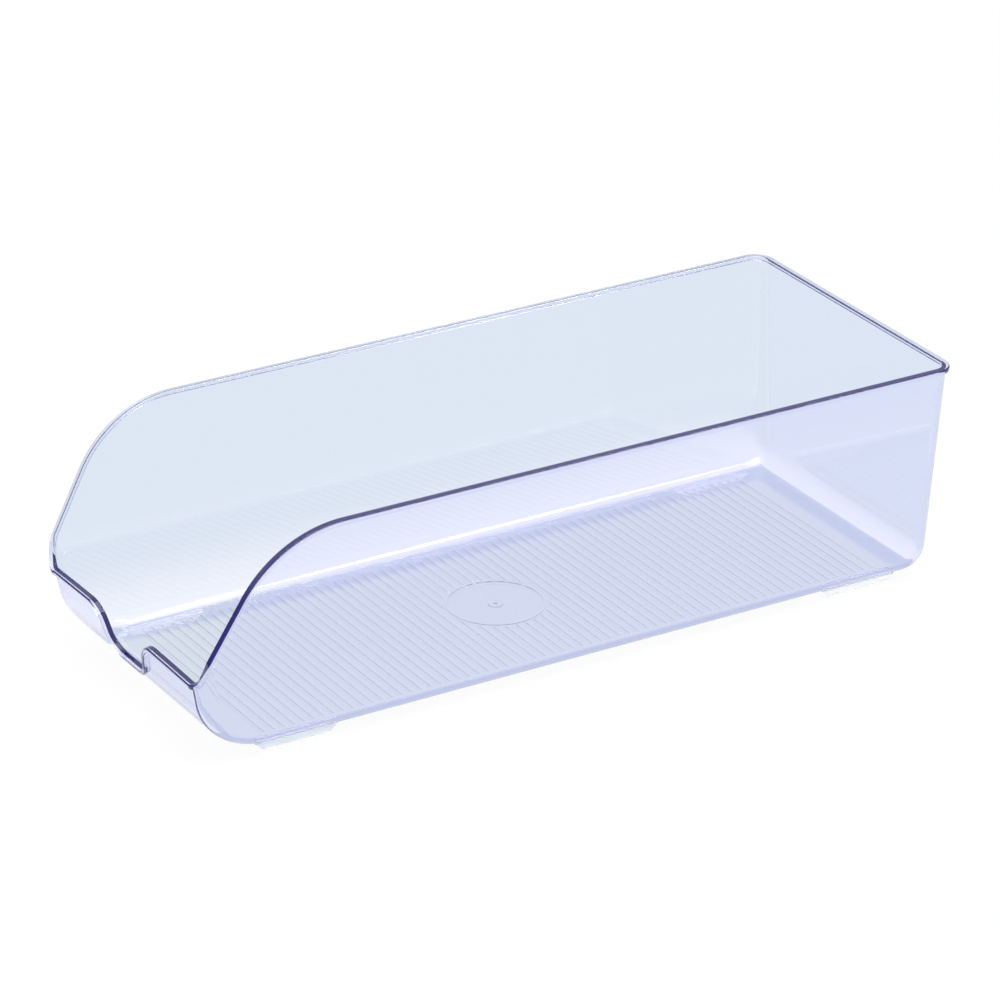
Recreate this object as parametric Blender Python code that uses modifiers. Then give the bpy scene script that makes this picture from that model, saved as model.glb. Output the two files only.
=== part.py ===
"""Open fridge bin for drink cans, moulded in clear plastic.

Cans are loaded over the low, scooped front and lie across the ribbed floor.  The side walls swoop
down to a notched front lip, a small flange runs round the whole edge, and four soft strips under the
long edges keep the bin from sliding.

Blender 4.5, metres, +Z up.  The front faces -Y.  The origin is on the surface that the bin stands on,
under the middle of its outline.
"""
import math

import bmesh
import bpy
import numpy as np

MM = 0.001

# The moulding as a whole; heights are above the floor's underside.
RIM_LENGTH = 355.0 * MM
RIM_WIDTH = 148.0 * MM
BODY_HEIGHT = 96.5 * MM
WALL = 1.8 * MM
SIDE_TAPER = 9.15 * MM
REAR_TAPER = 1.8 * MM
LIP_TAPER = 1.8 * MM

# Rounding of the outer skin.
FRONT_SCOOP_RADIUS = 30.5 * MM
REAR_FLOOR_RADIUS = 12.0 * MM
EDGE_RADIUS = 8.0 * MM
FRONT_CORNER_RADIUS = 7.5 * MM
REAR_CORNER_RADIUS = 8.0 * MM

# Flange along the whole open edge.
RIM_PROUD = 1.5 * MM
RIM_DEPTH = 2.2 * MM
RIM_ROUND = 0.7 * MM
RIM_COVER = 0.08 * MM

# The edge of the side walls, from the lip's corner up to the level rim.
LIP_CORNER_HEIGHT = 35.2 * MM
LIP_CROWN = 1.0 * MM
SWOOP_FOOT_RADIUS = 6.0 * MM
SWOOP_SHOULDER_RADIUS = 51.0 * MM
SWOOP_ANGLE = math.radians(60.0)

# Finger notch in the middle of the lip.
NOTCH_DEPTH = 16.6 * MM
NOTCH_FLAT = 12.0 * MM
NOTCH_FOOT_RADIUS = 8.0 * MM
NOTCH_SHOULDER_RADIUS = 6.0 * MM
NOTCH_ANGLE = math.radians(60.0)

# Ribs across the floor, which keep the cans off standing water.
RIB_PITCH = 4.51 * MM
RIB_WIDTH = 1.5 * MM
RIB_HEIGHT = 0.55 * MM
RIB_ROUND = 0.35 * MM
RIB_SIDE_MARGIN = 10.85 * MM
RIB_REAR_MARGIN = 21.9 * MM
RIB_FRONT_MARGIN = 34.0 * MM
RIB_SINK = 0.6 * MM

# Plain disc in the middle of the ribs, with the moulding gate under it.
DISC_RADIUS = 20.6 * MM
DISC_FORWARD = 2.6 * MM
DISC_RING_WIDTH = 0.9 * MM
DISC_RING_HEIGHT = 0.7 * MM
DISC_RISE = 0.1 * MM
DISC_CLEARANCE = 0.8 * MM
GATE_RADIUS = 3.2 * MM
GATE_DEPTH = 0.7 * MM
GATE_NUB_RADIUS = 0.9 * MM
GATE_NUB_HEIGHT = 0.4 * MM

# Soft strips under the long edges.
FOOT_HEIGHT = 3.0 * MM
FOOT_LENGTH = 37.5 * MM
FOOT_WIDTH = 5.5 * MM
FOOT_END_SLOPE = 3.5 * MM
FOOT_ROUND = 1.2 * MM
FOOT_FRONT_MARGIN = 28.0 * MM
FOOT_REAR_MARGIN = 14.5 * MM
FOOT_OUTER_TURN = math.radians(25.0)
SEAT_GAP = 0.3 * MM

# How finely the curves are divided.
SCOOP_ROWS = 12
CORNER_STEPS = 3
FOOT_STEPS = 4
SHOULDER_STEPS = 10
NOTCH_STEPS = 4
ROUND_STEPS = 2
DISC_STEPS = 48
GATE_STEPS = 24
OVERRUN = 1.0 * MM
MERGE = 0.001 * MM

FLOOR_LEVEL = FOOT_HEIGHT + SEAT_GAP
SIDE_LEAN = math.atan(SIDE_TAPER / BODY_HEIGHT)
BASE_WIDTH = RIM_WIDTH - 2 * (RIM_PROUD + SIDE_TAPER)


class End:
    """One end of the bin in side view: the floor runs into an arc, and the arc into a leaning wall.

    Places along it are arc lengths, from zero where the floor ends.  Distances are measured from
    the origin towards that end.
    """

    def __init__(self, side, wall_at_top, top, taper, radius, corner_radius):
        self.side = side
        self.lean = math.atan(taper / top)
        self.radius = radius
        self.corner_radius = corner_radius
        foot = wall_at_top - taper
        self.centre = foot + radius * math.tan(self.lean) - radius / math.cos(self.lean)
        self.reach = self.centre + radius
        self.bend = radius * (math.pi / 2 - self.lean)

    def path(self, length):
        """Distance, height and outward direction at an arc length, on arrays."""
        turn = np.minimum(length, self.bend) / self.radius
        straight = np.maximum(length - self.bend, 0)
        normal = np.stack([np.sin(turn), -np.cos(turn)], axis=-1)
        distance = self.centre + self.radius * normal[..., 0] + straight * math.sin(self.lean)
        height = self.radius + self.radius * normal[..., 1] + straight * math.cos(self.lean)
        return distance, height, normal

    def length_at(self, height):
        """Arc length at which the outline reaches a height."""
        bend_top = self.radius * (1 - math.sin(self.lean))
        on_arc = self.radius * np.arccos(1 - np.minimum(height, bend_top) / self.radius)
        return on_arc + np.maximum(height - bend_top, 0) / math.cos(self.lean)

    def edge_radius(self, length):
        """The rounding between this end and the side walls, along the outline."""
        share = np.minimum(length / self.bend, 1)
        return EDGE_RADIUS + (self.corner_radius - EDGE_RADIUS) * share

    def skin(self, column, length):
        """Points and outward directions of the outer skin, on arrays.

        A column from 0 to 1 is a share of the flat width, from the middle to where the rounding
        begins.  From 1 to 2 it goes round the corner, to where the side wall begins.  The
        rounding is a ball's path, rolled along between the end's outline and the side wall.
        """
        column, length = np.broadcast_arrays(np.asarray(column, float), np.asarray(length, float))
        distance, height, flat_normal = self.path(length)
        radius = self.edge_radius(length)
        ball_distance = distance - radius * flat_normal[..., 0]
        ball_height = height - radius * flat_normal[..., 1]
        ball_x = BASE_WIDTH / 2 + ball_height * math.tan(SIDE_LEAN) - radius / math.cos(SIDE_LEAN)

        end_normal = np.stack([0 * radius, flat_normal[..., 0], flat_normal[..., 1]], axis=-1)
        side_normal = np.array([math.cos(SIDE_LEAN), 0, -math.sin(SIDE_LEAN)])
        angle = np.arccos((end_normal * side_normal).sum(axis=-1))
        turn = np.clip(column - 1, 0, 1) * angle
        normal = (np.sin(angle - turn)[..., None] * end_normal + np.sin(turn)[..., None] * side_normal)
        normal = normal / np.sin(angle)[..., None]

        ball = np.stack([ball_x * np.minimum(column, 1), ball_distance, ball_height], axis=-1)
        point = ball + radius[..., None] * normal
        return self.to_world(point), normal * np.array([1, self.side, 1])

    def length_for(self, column, height):
        """Arc length at which a column of the skin reaches a height."""
        wall_normal = -math.sin(self.lean)
        _, normal = self.skin(column, self.bend)
        rounding = np.where(np.asarray(column) > 1, self.corner_radius, 0)
        return self.length_at(height - rounding * (normal[..., 2] - wall_normal))

    def to_world(self, point):
        """Turn a distance towards this end into Y, and lift the floor onto its feet."""
        return point * np.array([1, self.side, 1]) + np.array([0, 0, FLOOR_LEVEL])


FRONT = End(-1, RIM_LENGTH / 2 - RIM_PROUD, LIP_CORNER_HEIGHT, LIP_TAPER, FRONT_SCOOP_RADIUS,
            FRONT_CORNER_RADIUS)
REAR = End(1, RIM_LENGTH / 2 - RIM_PROUD, BODY_HEIGHT, REAR_TAPER, REAR_FLOOR_RADIUS,
           REAR_CORNER_RADIUS)


class Rise:
    """A soft step in an edge: level, a small hollow arc, a slope, a round shoulder, level again."""

    def __init__(self, height, angle, foot_radius, shoulder_radius):
        self.height = height
        self.angle = angle
        self.foot_radius = foot_radius
        self.shoulder_radius = shoulder_radius
        self.foot_run = foot_radius * math.sin(angle)
        self.shoulder_run = shoulder_radius * math.sin(angle)
        rounded = (foot_radius + shoulder_radius) * (1 - math.cos(angle))
        self.run = self.foot_run + (height - rounded) / math.tan(angle) + self.shoulder_run

    def at(self, distance):
        """Height above the low level, at a distance from the foot."""
        distance = np.clip(distance, 0, self.run)
        in_foot = np.minimum(distance, self.foot_run)
        in_shoulder = np.minimum(self.run - distance, self.shoulder_run)
        foot = self.foot_radius - np.sqrt(self.foot_radius ** 2 - in_foot ** 2)
        shoulder = self.shoulder_radius - np.sqrt(self.shoulder_radius ** 2 - in_shoulder ** 2)
        slope_end = np.minimum(distance, self.run - self.shoulder_run)
        slope = np.maximum(slope_end - self.foot_run, 0) * math.tan(self.angle)
        upper = self.height - shoulder
        lower = foot + slope
        return np.where(distance > self.run - self.shoulder_run, upper, lower)

    def foot_stations(self, steps):
        return self.foot_radius * np.sin(np.linspace(0, self.angle, steps + 1))

    def shoulder_stations(self, steps):
        return self.run - self.shoulder_radius * np.sin(np.linspace(self.angle, 0, steps + 1))


RIM_HEIGHT = BODY_HEIGHT - RIM_COVER
SWOOP = Rise(RIM_HEIGHT - LIP_CORNER_HEIGHT, SWOOP_ANGLE, SWOOP_FOOT_RADIUS, SWOOP_SHOULDER_RADIUS)
NOTCH = Rise(NOTCH_DEPTH, NOTCH_ANGLE, NOTCH_FOOT_RADIUS, NOTCH_SHOULDER_RADIUS)


def corner_run():
    """Length of the lip's corner, from the front face round to the side wall."""
    return FRONT_CORNER_RADIUS * math.pi / 2


def lip_half_width():
    """Half the flat width of the front face at the lip."""
    edge, _ = FRONT.skin(1, FRONT.length_at(LIP_CORNER_HEIGHT))
    return edge[0]


def corner_columns():
    """Columns round a corner, with the swoop's foot arc among them."""
    foot = SWOOP.foot_stations(FOOT_STEPS)
    rest = np.linspace(foot[-1], corner_run(), CORNER_STEPS + 1)
    return 1 + np.concatenate([foot, rest[1:]]) / corner_run()


def lip_columns():
    """Columns from the middle of the lip to its corner, closer together round the notch."""
    notch = np.concatenate([NOTCH.foot_stations(NOTCH_STEPS), NOTCH.shoulder_stations(NOTCH_STEPS)])
    notch = NOTCH_FLAT / 2 + notch
    shoulder_end = notch[-1]
    lip = np.linspace(shoulder_end, lip_half_width(), NOTCH_STEPS)
    return np.concatenate([[0], notch, lip[1:]]) / lip_half_width()


def lip_height(column):
    """Height of the front edge: a slightly crowned lip, less the notch, and the swoop's corner."""
    column = np.asarray(column, float)
    across = np.minimum(column, 1)
    crown = LIP_CROWN * (1 - across ** 2)
    below = NOTCH_DEPTH - NOTCH.at(across * lip_half_width() - NOTCH_FLAT / 2)
    climb = SWOOP.at(np.maximum(column - 1, 0) * corner_run())
    return LIP_CORNER_HEIGHT + crown - below + climb


def side_point(y, height):
    """A point on the right side wall."""
    x = BASE_WIDTH / 2 + height * math.tan(SIDE_LEAN)
    return np.stack([x, y, height + FLOOR_LEVEL], axis=-1)


def side_edge():
    """The open edge of the right side wall, from the lip's corner to the rear corner."""
    start, _ = FRONT.skin(2, FRONT.length_for(2, lip_height(2)))
    end, _ = REAR.skin(2, REAR.length_for(2, RIM_HEIGHT))
    run = SWOOP.shoulder_stations(SHOULDER_STEPS)
    y = np.append(start[1] + run - corner_run(), end[1])
    height = np.append(LIP_CORNER_HEIGHT + SWOOP.at(run), RIM_HEIGHT)
    return side_point(y, height)


def front_grid():
    """The front wall and its corner, floor to edge: rows go up, columns go outwards."""
    columns = np.concatenate([lip_columns(), corner_columns()[1:]])
    top = FRONT.length_for(columns, lip_height(columns))
    rows = np.linspace(0, 1, SCOOP_ROWS + 1)[:, None] * top[None, :]
    return FRONT.skin(columns[None, :], rows)


def rear_grid():
    """The rear wall and its corner, floor to edge: rows go up, columns go outwards."""
    columns = np.concatenate([[0], corner_columns()])
    top = REAR.length_for(columns, RIM_HEIGHT)
    bend = np.linspace(0, REAR.bend, SCOOP_ROWS // 2 + 1)[:, None] * np.ones(len(columns))
    return REAR.skin(columns[None, :], np.vstack([bend, top[None, :]]))


def add_grid(mesh, points, flip=False):
    """Add a grid of points to the mesh as quads."""
    verts = [[mesh.verts.new(point) for point in row] for row in points]
    for low, high in zip(verts, verts[1:]):
        for left in range(len(low) - 1):
            corners = [low[left], low[left + 1], high[left + 1], high[left]]
            mesh.faces.new(corners[::-1] if flip else corners)


def add_polygon(mesh, points):
    mesh.faces.new([mesh.verts.new(point) for point in points])


def new_object(name, mesh, collection):
    """Make an object from a bmesh, with near-coincident points merged."""
    bmesh.ops.remove_doubles(mesh, verts=mesh.verts, dist=MERGE)
    data = bpy.data.meshes.new(name)
    mesh.to_mesh(data)
    mesh.free()
    data.update()
    thing = bpy.data.objects.new(name, data)
    collection.objects.link(thing)
    return thing


def cutter(thing):
    """Mark an object as a tool for other objects' modifiers."""
    thing.hide_render = True
    thing.display_type = "WIRE"
    return thing


def mirror_across(thing):
    modifier = thing.modifiers.new("Left half", "MIRROR")
    modifier.use_axis[0] = True
    modifier.use_clip = True
    modifier.merge_threshold = MERGE


def boolean(thing, tool, operation):
    modifier = thing.modifiers.new(operation.title() + " " + tool.name, "BOOLEAN")
    modifier.object = tool
    modifier.operation = operation
    modifier.solver = "EXACT"


def make_skin(collection):
    """The outer skin of the right half: front, rear, floor, bottom edge and side wall."""
    front, _ = front_grid()
    rear, _ = rear_grid()
    mesh = bmesh.new()
    add_grid(mesh, front)
    add_grid(mesh, rear, flip=True)

    flat_front = len(lip_columns())
    edge_front = front[0, flat_front - 1:]
    edge_rear = rear[0, 1:]
    add_grid(mesh, np.stack([edge_rear, edge_front]))
    add_polygon(mesh, np.concatenate([front[0, :flat_front], rear[0, 1::-1]])[::-1])
    outline = np.concatenate([front[:, -1], side_edge(), rear[::-1, -1][1:]])
    add_polygon(mesh, outline[::-1])
    return new_object("bin_body", mesh, collection)


def rim_path():
    """Points and outward directions along the open edge's right half, front to rear."""
    front, front_normal = front_grid()
    rear, rear_normal = rear_grid()
    side = side_edge()[:-1]
    side_normal = np.broadcast_to(front_normal[-1, -1], side.shape)
    points = np.concatenate([front[-1], side, rear[-1, ::-1]])
    normals = np.concatenate([front_normal[-1], side_normal, rear_normal[-1, ::-1]])
    return points, normals


def rim_section():
    """Outline of the flange: shares of outward (first) and up the wall (second), as lengths."""
    turn = np.linspace(0, math.pi / 2, ROUND_STEPS + 1)
    arc = RIM_ROUND * np.stack([np.cos(turn), np.sin(turn)], axis=-1)
    inner = -(WALL + RIM_COVER)
    top = RIM_COVER
    bottom = RIM_COVER - RIM_DEPTH
    corner = RIM_ROUND * np.ones(2)
    outer_low = np.array([RIM_PROUD, bottom]) + (arc * [1, -1] - corner * [1, -1])[::-1]
    outer_top = np.array([RIM_PROUD, top]) + (arc - corner)
    inner_top = np.array([inner, top]) + (arc * [-1, 1] - corner * [-1, 1])[::-1]
    return np.concatenate([outer_low, outer_top, inner_top, [[inner, bottom]]])


def make_rim(collection):
    """The flange: its section carried along the open edge, square to the edge everywhere."""
    points, normals = rim_path()
    before = points[1] * np.array([-1, 1, 1])
    after = points[-2] * np.array([-1, 1, 1])
    padded = np.vstack([before, points, after])
    tangent = padded[2:] - padded[:-2]
    up = np.cross(normals, tangent)
    up = up / np.linalg.norm(up, axis=1)[:, None]
    up = up * np.sign(up[:, 2:])
    section = rim_section()
    section = np.vstack([section, section[:1]])
    rings = points[:, None] + section[None, :, :1] * normals[:, None] + section[None, :, 1:] * up[:, None]
    rings[[0, -1], :, 0] = 0
    mesh = bmesh.new()
    add_grid(mesh, rings, flip=True)
    rim = new_object("rim_flange", mesh, collection)
    mirror_across(rim)
    return cutter(rim)


def make_ribs(collection):
    """A row of low ribs across the floor, broken round the disc."""
    mesh = bmesh.new()
    bmesh.ops.create_cube(mesh, size=1)
    height = RIB_HEIGHT + RIB_SINK
    length = BASE_WIDTH - 2 * RIB_SIDE_MARGIN
    bmesh.ops.scale(mesh, vec=(length, RIB_WIDTH, height), verts=mesh.verts)
    top = FLOOR_LEVEL + WALL + RIB_HEIGHT
    rear = REAR.reach - RIB_REAR_MARGIN
    field = rear + FRONT.reach - RIB_FRONT_MARGIN
    bmesh.ops.translate(mesh, vec=(0, rear, top - height / 2), verts=mesh.verts)
    upper = [edge for edge in mesh.edges
             if all(abs(vert.co.z - top) < MERGE for vert in edge.verts)
             and abs(edge.verts[0].co.x - edge.verts[1].co.x) > RIB_WIDTH]
    bmesh.ops.bevel(mesh, geom=upper, offset=RIB_ROUND, segments=ROUND_STEPS, profile=0.5,
                    affect="EDGES")
    ribs = new_object("floor_ribs", mesh, collection)
    row = ribs.modifiers.new("Row of ribs", "ARRAY")
    row.use_relative_offset = False
    row.use_constant_offset = True
    row.constant_offset_displace = (0, -RIB_PITCH, 0)
    row.count = int(field / RIB_PITCH) + 1
    row.merge_threshold = MERGE
    return cutter(ribs)


def cylinder(name, radius, low, high, y, steps, collection):
    mesh = bmesh.new()
    bmesh.ops.create_cone(mesh, cap_ends=True, segments=steps, radius1=radius, radius2=radius,
                          depth=high - low)
    thing = new_object(name, mesh, collection)
    thing.location = (0, y, (low + high) / 2)
    return cutter(thing)


def make_disc(collection):
    """The plain disc: a low pad with its middle turned down, which leaves a thin raised ring."""
    floor_top = FLOOR_LEVEL + WALL
    pad = cylinder("disc_pad", DISC_RADIUS + DISC_RING_WIDTH / 2, floor_top - RIB_SINK,
                   floor_top + DISC_RING_HEIGHT, -DISC_FORWARD, DISC_STEPS, collection)
    middle = cylinder("disc_middle", DISC_RADIUS - DISC_RING_WIDTH / 2, floor_top + DISC_RISE,
                      floor_top + OVERRUN, -DISC_FORWARD, DISC_STEPS, collection)
    boolean(pad, middle, "DIFFERENCE")
    return pad


def make_bin(collection, cutters):
    """The one-piece moulding: skin made solid, then flange, ribs, ring and gate added."""
    body = make_skin(collection)
    mirror_across(body)
    wall = body.modifiers.new("Wall", "SOLIDIFY")
    wall.thickness = WALL
    wall.offset = -1
    wall.use_even_offset = True

    ribs = make_ribs(cutters)
    floor_top = FLOOR_LEVEL + WALL
    plain = cylinder("rib_clearance", DISC_RADIUS + DISC_CLEARANCE, floor_top - OVERRUN,
                     floor_top + OVERRUN, -DISC_FORWARD, DISC_STEPS, cutters)
    boolean(ribs, plain, "DIFFERENCE")
    gate = cylinder("gate_recess", GATE_RADIUS, FLOOR_LEVEL - OVERRUN, FLOOR_LEVEL + GATE_DEPTH,
                    -DISC_FORWARD, GATE_STEPS, cutters)
    nub = cylinder("gate_nub", GATE_NUB_RADIUS, FLOOR_LEVEL + GATE_DEPTH - GATE_NUB_HEIGHT,
                   FLOOR_LEVEL + GATE_DEPTH + GATE_NUB_HEIGHT, -DISC_FORWARD, GATE_STEPS // 2, cutters)
    boolean(body, make_rim(cutters), "UNION")
    boolean(body, ribs, "UNION")
    boolean(body, make_disc(cutters), "UNION")
    boolean(body, gate, "DIFFERENCE")
    boolean(body, nub, "UNION")
    return body


def foot_section():
    """The strip's section: flat below, and above it follows the bin's flat floor and rounded edge."""
    edge, _ = REAR.skin(1, 0)
    axis_x = edge[0]
    reach = EDGE_RADIUS + SEAT_GAP
    outer = axis_x + EDGE_RADIUS * math.sin(FOOT_OUTER_TURN)
    turn = np.linspace(0, math.asin((outer - axis_x) / reach), 2 * ROUND_STEPS + 1)
    top_x = axis_x + reach * np.sin(turn)
    top_height = EDGE_RADIUS - reach * np.cos(turn)
    inner = outer - FOOT_WIDTH
    x = np.concatenate([[outer, inner, inner], top_x])
    height = np.concatenate([[-FLOOR_LEVEL, -FLOOR_LEVEL, -SEAT_GAP], top_height])
    return x, height + FLOOR_LEVEL


def make_foot(name, side, front, collection):
    """A soft strip, from its front end backwards, with sloping rounded ends."""
    x, height = foot_section()
    lift = (height > height.min() + MERGE)
    slope = np.where(lift, 0, FOOT_END_SLOPE)
    near = np.stack([side * x, front + slope, height], axis=-1)
    far = np.stack([side * x, front + FOOT_LENGTH - slope, height], axis=-1)
    mesh = bmesh.new()
    near_verts = [mesh.verts.new(point) for point in near]
    far_verts = [mesh.verts.new(point) for point in far]
    mesh.faces.new(near_verts)
    mesh.faces.new(far_verts[::-1])
    for here in range(len(x)):
        after = (here + 1) % len(x)
        mesh.faces.new([near_verts[here], far_verts[here], far_verts[after], near_verts[after]])
    bmesh.ops.recalc_face_normals(mesh, faces=mesh.faces)
    ends = [edge for edge in mesh.edges
            if all(vert.co.z < MERGE for vert in edge.verts)
            and abs(edge.verts[0].co.x - edge.verts[1].co.x) > FOOT_ROUND]
    bmesh.ops.bevel(mesh, geom=ends, offset=FOOT_ROUND, segments=ROUND_STEPS, profile=0.5,
                    affect="EDGES")
    return new_object(name, mesh, collection)


def make_feet(collection):
    """Four strips, a pair near each end."""
    front = FOOT_FRONT_MARGIN - FRONT.reach
    rear = REAR.reach - FOOT_REAR_MARGIN - FOOT_LENGTH
    places = [("foot_front_left", -1, front), ("foot_front_right", 1, front),
              ("foot_rear_left", -1, rear), ("foot_rear_right", 1, rear)]
    return [make_foot(name, side, start, collection) for name, side, start in places]


def plastic(name, colour, roughness, transmission):
    """A clear plastic, tinted through."""
    material = bpy.data.materials.new(name)
    material.use_nodes = True
    shader = material.node_tree.nodes["Principled BSDF"]
    shader.inputs["Base Color"].default_value = colour
    shader.inputs["Roughness"].default_value = roughness
    shader.inputs["Metallic"].default_value = 0
    shader.inputs["Transmission Weight"].default_value = transmission
    shader.inputs["IOR"].default_value = 1.5
    return material


def clear_scene():
    for thing in list(bpy.data.objects):
        bpy.data.objects.remove(thing, do_unlink=True)


def new_collection(name):
    collection = bpy.data.collections.new(name)
    bpy.context.scene.collection.children.link(collection)
    return collection


def main():
    clear_scene()
    product = new_collection("fridge_can_organizer")
    cutters = new_collection("cutters")
    bin_body = make_bin(product, cutters)
    feet = make_feet(product)
    bin_body.data.materials.append(plastic("lavender_clear_plastic", (0.80, 0.83, 0.95, 1), 0.05, 1.0))
    soft = plastic("clear_soft_plastic", (0.93, 0.96, 0.97, 1), 0.25, 0.9)
    for foot in feet:
        foot.data.materials.append(soft)


main()
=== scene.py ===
import math

import bpy
import numpy as np
from mathutils import Matrix, Vector
from mathutils.geometry import delaunay_2d_cdt


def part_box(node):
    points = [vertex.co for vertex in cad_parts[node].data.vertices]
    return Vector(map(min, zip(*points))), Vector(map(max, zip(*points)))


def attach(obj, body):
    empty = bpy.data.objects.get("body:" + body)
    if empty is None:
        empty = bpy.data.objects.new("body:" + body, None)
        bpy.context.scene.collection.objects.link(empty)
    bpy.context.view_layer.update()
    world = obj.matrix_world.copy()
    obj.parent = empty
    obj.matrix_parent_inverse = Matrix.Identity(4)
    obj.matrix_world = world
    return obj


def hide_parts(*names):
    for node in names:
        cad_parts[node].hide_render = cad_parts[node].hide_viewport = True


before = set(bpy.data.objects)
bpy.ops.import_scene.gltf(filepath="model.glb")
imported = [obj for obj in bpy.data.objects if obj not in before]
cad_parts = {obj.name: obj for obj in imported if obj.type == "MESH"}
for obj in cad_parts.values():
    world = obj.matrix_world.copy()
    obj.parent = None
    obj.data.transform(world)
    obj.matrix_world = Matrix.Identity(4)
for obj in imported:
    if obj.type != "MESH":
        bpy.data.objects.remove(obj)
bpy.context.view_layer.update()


# The camera, in the place that the photograph was taken from: about two metres away, to the right of
# the open front and above it, with a long lens.
MM = 0.001
CAMERA_AIM = Vector((0.83, -0.47, 51.83)) * MM
CAMERA_AZIMUTH = math.radians(59.0)
CAMERA_ELEVATION = math.radians(25.07)
CAMERA_ROLL = math.radians(0.154)
CAMERA_DISTANCE = 2099.0 * MM
CAMERA_LENS_MM = 182.7

camera_data = bpy.data.cameras.new("camera")
camera_data.lens = CAMERA_LENS_MM
camera_data.sensor_width = 36.0
camera_data.clip_start = 0.05
camera_data.clip_end = 50.0
camera = bpy.data.objects.new("camera", camera_data)
bpy.context.scene.collection.objects.link(camera)
camera_back = Vector((math.sin(CAMERA_AZIMUTH) * math.cos(CAMERA_ELEVATION),
                      -math.cos(CAMERA_AZIMUTH) * math.cos(CAMERA_ELEVATION),
                      math.sin(CAMERA_ELEVATION)))
camera_turn = (-camera_back).to_track_quat("-Z", "Y").to_matrix()
camera_turn = camera_turn @ Matrix.Rotation(CAMERA_ROLL, 3, "Z")
camera_place = Matrix.Translation(CAMERA_AIM + CAMERA_DISTANCE * camera_back)
camera.matrix_world = camera_place @ camera_turn.to_4x4()
bpy.context.scene.camera = camera


# The bin: one injection moulding of clear plastic with a faint lavender tint.  Its wall is thin and even,
# the corners are rolled with a ball, and the floor is ribbed round a plain disc over the moulding gate.
FLOOR_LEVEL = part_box("bin_body")[0][2]
RIM_LENGTH = 355.0 * MM
RIM_WIDTH = 148.0 * MM
BODY_HEIGHT = 96.5 * MM
WALL = 1.8 * MM
SIDE_TAPER = 9.15 * MM
REAR_TAPER = 1.8 * MM
LIP_TAPER = 7.2 * MM
SCOOP_RADIUS = 31.0 * MM
REAR_FLOOR_RADIUS = 12.0 * MM
EDGE_RADIUS = 8.0 * MM
FRONT_CORNER_RADIUS = 7.5 * MM
REAR_CORNER_RADIUS = 8.0 * MM
RIM_PROUD = 1.5 * MM
RIM_DEPTH = 2.2 * MM
RIM_TOP_ROUND = 0.8 * MM
RIM_LOW_ROUND = 0.5 * MM
LIP_CORNER_HEIGHT = 35.28 * MM
LIP_CROWN = 1.0 * MM
SWOOP_FOOT_RADIUS = 6.0 * MM
SWOOP_SHOULDER_RADIUS = 51.0 * MM
SWOOP_ANGLE = math.radians(60.0)
NOTCH_DEPTH = 18.0 * MM
NOTCH_FLAT = 14.0 * MM
NOTCH_FOOT_RADIUS = 9.0 * MM
NOTCH_SHOULDER_RADIUS = 11.0 * MM
NOTCH_ANGLE = math.radians(72.0)

SIDE_LEAN = math.atan(SIDE_TAPER / BODY_HEIGHT)
BASE_HALF = RIM_WIDTH / 2 - RIM_PROUD - SIDE_TAPER
CORNER_RUN = FRONT_CORNER_RADIUS * math.pi / 2


def end_of_bin(side, top, taper, radius, corner_radius):
    """Side view of one end: an arc of that radius leaves the floor level and meets a leaning wall.

    The wall is set so that, at its top, it lies one flange width inside the bin's length.
    """
    lean = math.atan(taper / top)
    foot = RIM_LENGTH / 2 - RIM_PROUD - taper
    centre = foot + radius * math.tan(lean) - radius / math.cos(lean)
    return {"side": side, "lean": lean, "radius": radius, "corner": corner_radius, "centre": centre,
            "bend": radius * (math.pi / 2 - lean)}


front_end = end_of_bin(-1, LIP_CORNER_HEIGHT, LIP_TAPER, SCOOP_RADIUS, FRONT_CORNER_RADIUS)
rear_end = end_of_bin(1, BODY_HEIGHT, REAR_TAPER, REAR_FLOOR_RADIUS, REAR_CORNER_RADIUS)


def end_skin(end, column, length):
    """Outer face of an end and its outward directions, as arrays.

    length runs up the outline: turn = length / radius on the arc, and a straight wall above it.  A ball
    rolls up between the outline and the side wall.  Columns 0 to 1 are the flat width up to the ball's
    middle, and columns 1 to 2 turn round the ball, from the end's direction to the side wall's.
    """
    column, length = np.broadcast_arrays(np.asarray(column, float), np.asarray(length, float))
    turn = np.minimum(length, end["bend"]) / end["radius"]
    straight = np.maximum(length - end["bend"], 0)
    out, down = np.sin(turn), np.cos(turn)
    distance = end["centre"] + end["radius"] * out + straight * math.sin(end["lean"])
    height = end["radius"] * (1 - down) + straight * math.cos(end["lean"])
    share = np.minimum(length / end["bend"], 1)
    ball = EDGE_RADIUS + (end["corner"] - EDGE_RADIUS) * share
    ball_height = height + ball * down
    ball_x = BASE_HALF + ball_height * math.tan(SIDE_LEAN) - ball / math.cos(SIDE_LEAN)
    end_way = np.stack([0 * out, out, -down], axis=-1)
    side_way = np.array([math.cos(SIDE_LEAN), 0, -math.sin(SIDE_LEAN)])
    angle = np.arccos((end_way * side_way).sum(axis=-1))
    part = np.clip(column - 1, 0, 1) * angle
    way = np.sin(angle - part)[..., None] * end_way + np.sin(part)[..., None] * side_way
    way = way / np.sin(angle)[..., None]
    middle = np.stack([ball_x * np.minimum(column, 1), distance - ball * out, ball_height], axis=-1)
    mirror = np.array([1, end["side"], 1])
    return (middle + ball[..., None] * way) * mirror + np.array([0, 0, FLOOR_LEVEL]), way * mirror


def length_for(end, column, height):
    """Length up the outline at which a column reaches a height above the floor's underside."""
    _, way = end_skin(end, column, end["bend"])
    rounding = np.where(np.asarray(column) > 1, end["corner"], 0)
    height = height - rounding * (way[..., 2] + math.sin(end["lean"]))
    bend_top = end["radius"] * (1 - math.sin(end["lean"]))
    on_arc = end["radius"] * np.arccos(1 - np.minimum(height, bend_top) / end["radius"])
    return on_arc + np.maximum(height - bend_top, 0) / math.cos(end["lean"])


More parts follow.
